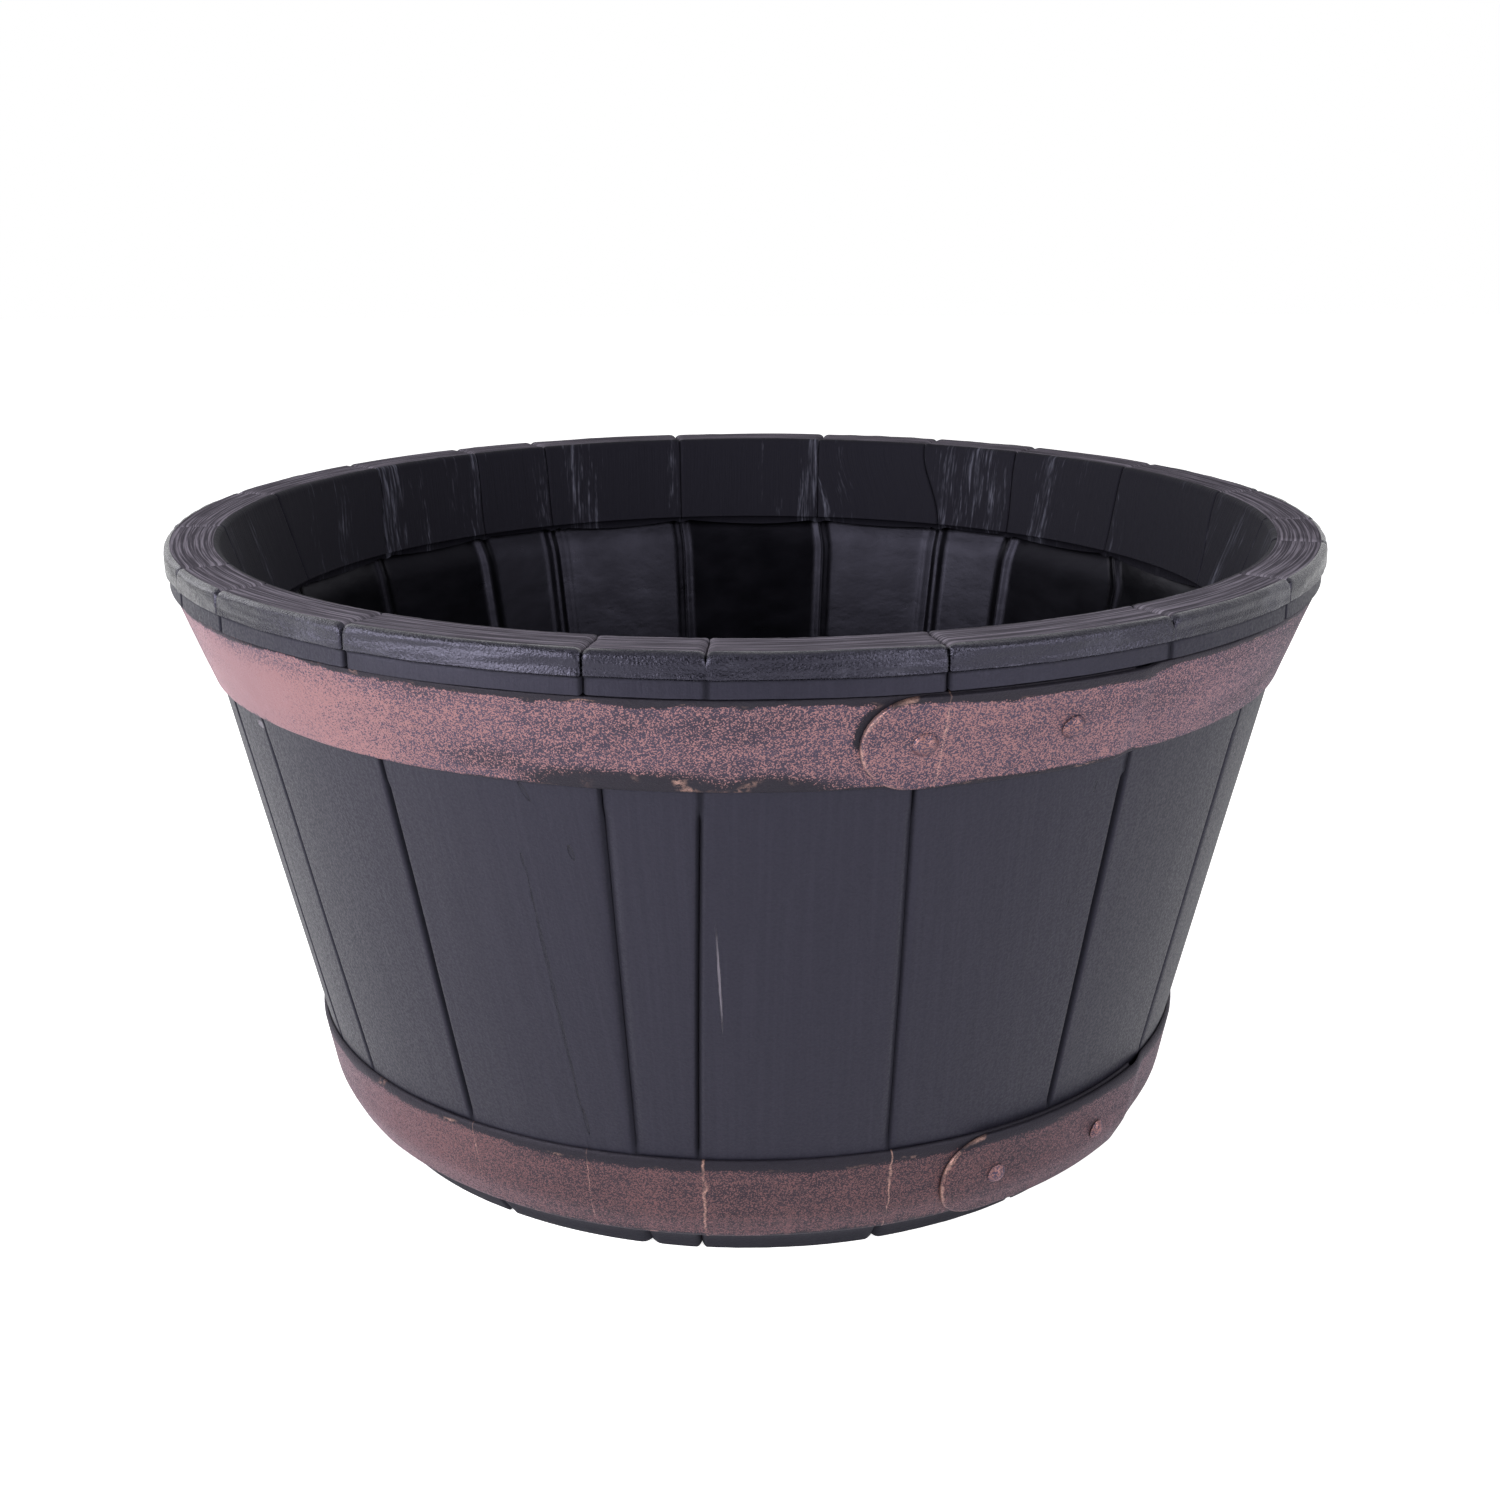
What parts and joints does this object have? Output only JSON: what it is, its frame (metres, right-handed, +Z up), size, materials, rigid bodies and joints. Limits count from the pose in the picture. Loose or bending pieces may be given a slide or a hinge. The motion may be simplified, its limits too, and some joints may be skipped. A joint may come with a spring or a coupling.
{
  "type": "wooden barrel planter",
  "caption": "Low round half-barrel planter of dark tapered staves, drawn together by lapped and riveted copper-toned hoops, with a boarded bottom and drain holes.",
  "frame": {"origin": "centre of the ring of stave feet, on the ground", "axes": "+Z up along the tub's axis, -Y towards the viewer's side of the picture, +X to the right in it"},
  "size_m": [0.5, 0.4999, 0.265],
  "materials": {
    "stained_stave": "charcoal stain outside, satin with fine open grain, worn on the rim's edges, glossy black pitch inside",
    "copper_hoop": "speckled copper patina over dark grey",
    "copper_rivet": "speckled copper patina, rubbed bright on the dome",
    "pitched_board": "glossy black pitch above, charcoal stain below",
    "plain_dowel": "plain turned hardwood"
  },
  "bodies": {
    "root": {"stave_01": "stained_stave", "stave_02": "stained_stave", "stave_03": "stained_stave", "stave_04": "stained_stave", "stave_05": "stained_stave", "stave_06": "stained_stave", "stave_07": "stained_stave", "stave_08": "stained_stave", "stave_09": "stained_stave", "stave_10": "stained_stave", "stave_11": "stained_stave", "stave_12": "stained_stave", "stave_13": "stained_stave", "stave_14": "stained_stave", "stave_15": "stained_stave", "stave_16": "stained_stave", "stave_17": "stained_stave", "stave_18": "stained_stave", "stave_19": "stained_stave", "stave_20": "stained_stave", "stave_21": "stained_stave", "upper_hoop": "copper_hoop", "lower_hoop": "copper_hoop", "upper_rivet_01": "copper_rivet", "upper_rivet_02": "copper_rivet", "lower_rivet_01": "copper_rivet", "lower_rivet_02": "copper_rivet", "bottom_board_01": "pitched_board", "bottom_board_02": "pitched_board", "bottom_board_03": "pitched_board", "bottom_board_04": "pitched_board", "bottom_board_05": "pitched_board", "dowel_01": "plain_dowel", "dowel_02": "plain_dowel", "dowel_03": "plain_dowel", "dowel_04": "plain_dowel", "dowel_05": "plain_dowel", "dowel_06": "plain_dowel", "dowel_07": "plain_dowel", "dowel_08": "plain_dowel"}
  },
  "joints": []
}
